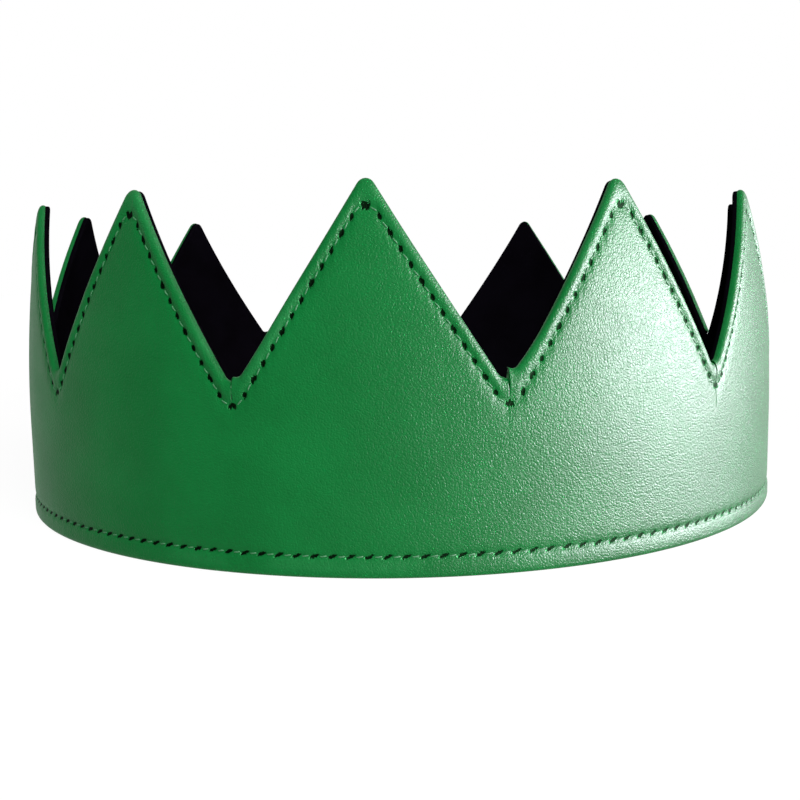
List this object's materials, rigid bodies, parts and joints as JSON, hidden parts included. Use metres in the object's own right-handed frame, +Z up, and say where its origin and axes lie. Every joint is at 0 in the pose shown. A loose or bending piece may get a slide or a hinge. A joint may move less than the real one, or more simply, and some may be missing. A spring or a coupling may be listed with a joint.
{
  "type": "leather crown",
  "caption": "Soft wearable crown: a closed ring of stitched faux leather with a zigzag of tall points, turned beaded edges and a dark lining.",
  "frame": {"origin": "middle of the crown's outer width and depth, at the level of the hem it stands on", "axes": "+Z up through the head opening towards the points, -Y towards the front, closing seam near +Y"},
  "size_m": [0.1774, 0.1758, 0.0679],
  "materials": {
    "outer_skin": "fine grained faux leather with a soft sheen",
    "stiffener": "plain stiff interlining",
    "lining": "smooth dark backing, nearly matt",
    "point_stitching": "sewing thread",
    "hem_stitching": "sewing thread",
    "back_seam_stitching": "sewing thread"
  },
  "bodies": {
    "root": {"outer_skin": "outer_skin", "stiffener": "stiffener", "lining": "lining", "point_stitching": "point_stitching", "hem_stitching": "hem_stitching", "back_seam_stitching": "back_seam_stitching"}
  },
  "joints": []
}
